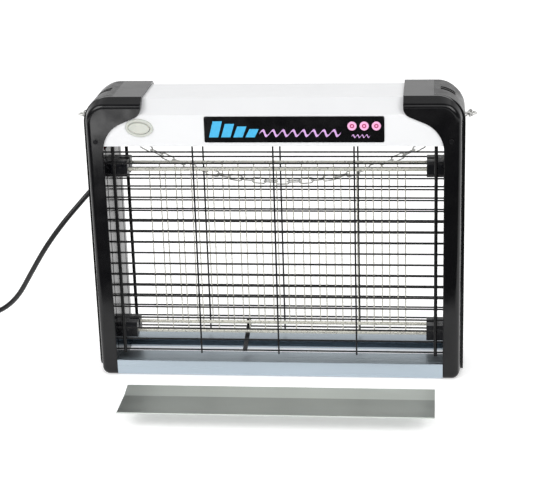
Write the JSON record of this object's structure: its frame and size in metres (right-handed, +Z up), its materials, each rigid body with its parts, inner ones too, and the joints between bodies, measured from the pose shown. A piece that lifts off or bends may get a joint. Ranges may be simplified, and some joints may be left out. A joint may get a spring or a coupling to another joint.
{
  "type": "electric bug zapper",
  "caption": "Free-standing or hanging insect killer: a high-voltage wire grid between two guards in a framed housing, with a slide-in collection tray.",
  "frame": {"origin": "on the surface the part stands on, midway between the side frames and midway from their fronts to their backs; the tray, drawn out in front, doesn't move it", "axes": "+X to the right seen from the front, +Y from the front to the back, +Z up"},
  "size_m": [0.5687, 0.2547, 0.262],
  "materials": {
    "housing_paint": "satin white powder coat",
    "black_abs": "gloss black moulding",
    "label_black": "printed gloss panel",
    "button_plastic": "light warm grey moulding",
    "dark_plastic": "black insulating plastic",
    "guard_black": "black coated wire",
    "grid_steel": "bright plated wire",
    "rail_aluminium": "brushed, cool grey",
    "tray_aluminium": "brushed, grey-green",
    "led_board": "white board",
    "diffuser": "milky translucent",
    "circuit_green": "solder mask",
    "transformer_core": "laminated core",
    "capacitor_film": "dipped film",
    "lead_red": "insulated lead",
    "screw_steel": "zinc plated",
    "black_screw": "black oxide",
    "chain_steel": "plated wire links",
    "cord_black": "black sheath",
    "plug_black": "moulded plug",
    "pin_metal": "nickel over brass"
  },
  "bodies": {
    "cabinet": {"board_standoffs": "dark_plastic", "capacitors": "capacitor_film", "circuit_board": "circuit_green", "corner_cover_left": "black_abs", "corner_cover_right": "black_abs", "cover_screws": "black_screw", "front_guard": "guard_black", "front_rail": "rail_aluminium", "grid_comb_front": "grid_steel", "grid_comb_rear": "grid_steel", "grid_stay": "dark_plastic", "hanger_eye_left": "chain_steel", "hanger_eye_right": "chain_steel", "hanging_chain": "chain_steel", "housing_bottom_plate": "housing_paint", "hv_lead_front": "lead_red", "hv_lead_rear": "lead_red", "insulator_screws": "screw_steel", "label_plate": "label_black", "led_boards": "led_board", "led_diffusers": "diffuser", "lower_insulator_left": "dark_plastic", "lower_insulator_right": "dark_plastic", "plate_screws": "screw_steel", "plug_pins": "pin_metal", "power_cord": "cord_black", "power_cord_coil": "cord_black", "power_plug": "plug_black", "rear_guard": "guard_black", "rear_rail": "rail_aluminium", "side_band_left": "black_abs", "side_band_right": "black_abs", "side_frame_left": "black_abs", "side_frame_right": "black_abs", "strain_relief": "cord_black", "switch_bezel": "button_plastic", "switch_body": "dark_plastic", "top_housing": "housing_paint", "transformer": "transformer_core", "upper_insulator_left": "dark_plastic", "upper_insulator_right": "dark_plastic"},
    "tray": {"collection_tray": "tray_aluminium"},
    "button": {"switch_cap": "button_plastic"}
  },
  "joints": [
    {"name": "tray_slide", "type": "slide", "parent": "cabinet", "child": "tray", "axis": [0, 1, 0], "range_m": [0, 0.127]},
    {"name": "button_press", "type": "slide", "parent": "cabinet", "child": "button", "axis": [0, 1, 0], "range_m": [0, 0.002], "stiffness_N_per_m": 300}
  ]
}
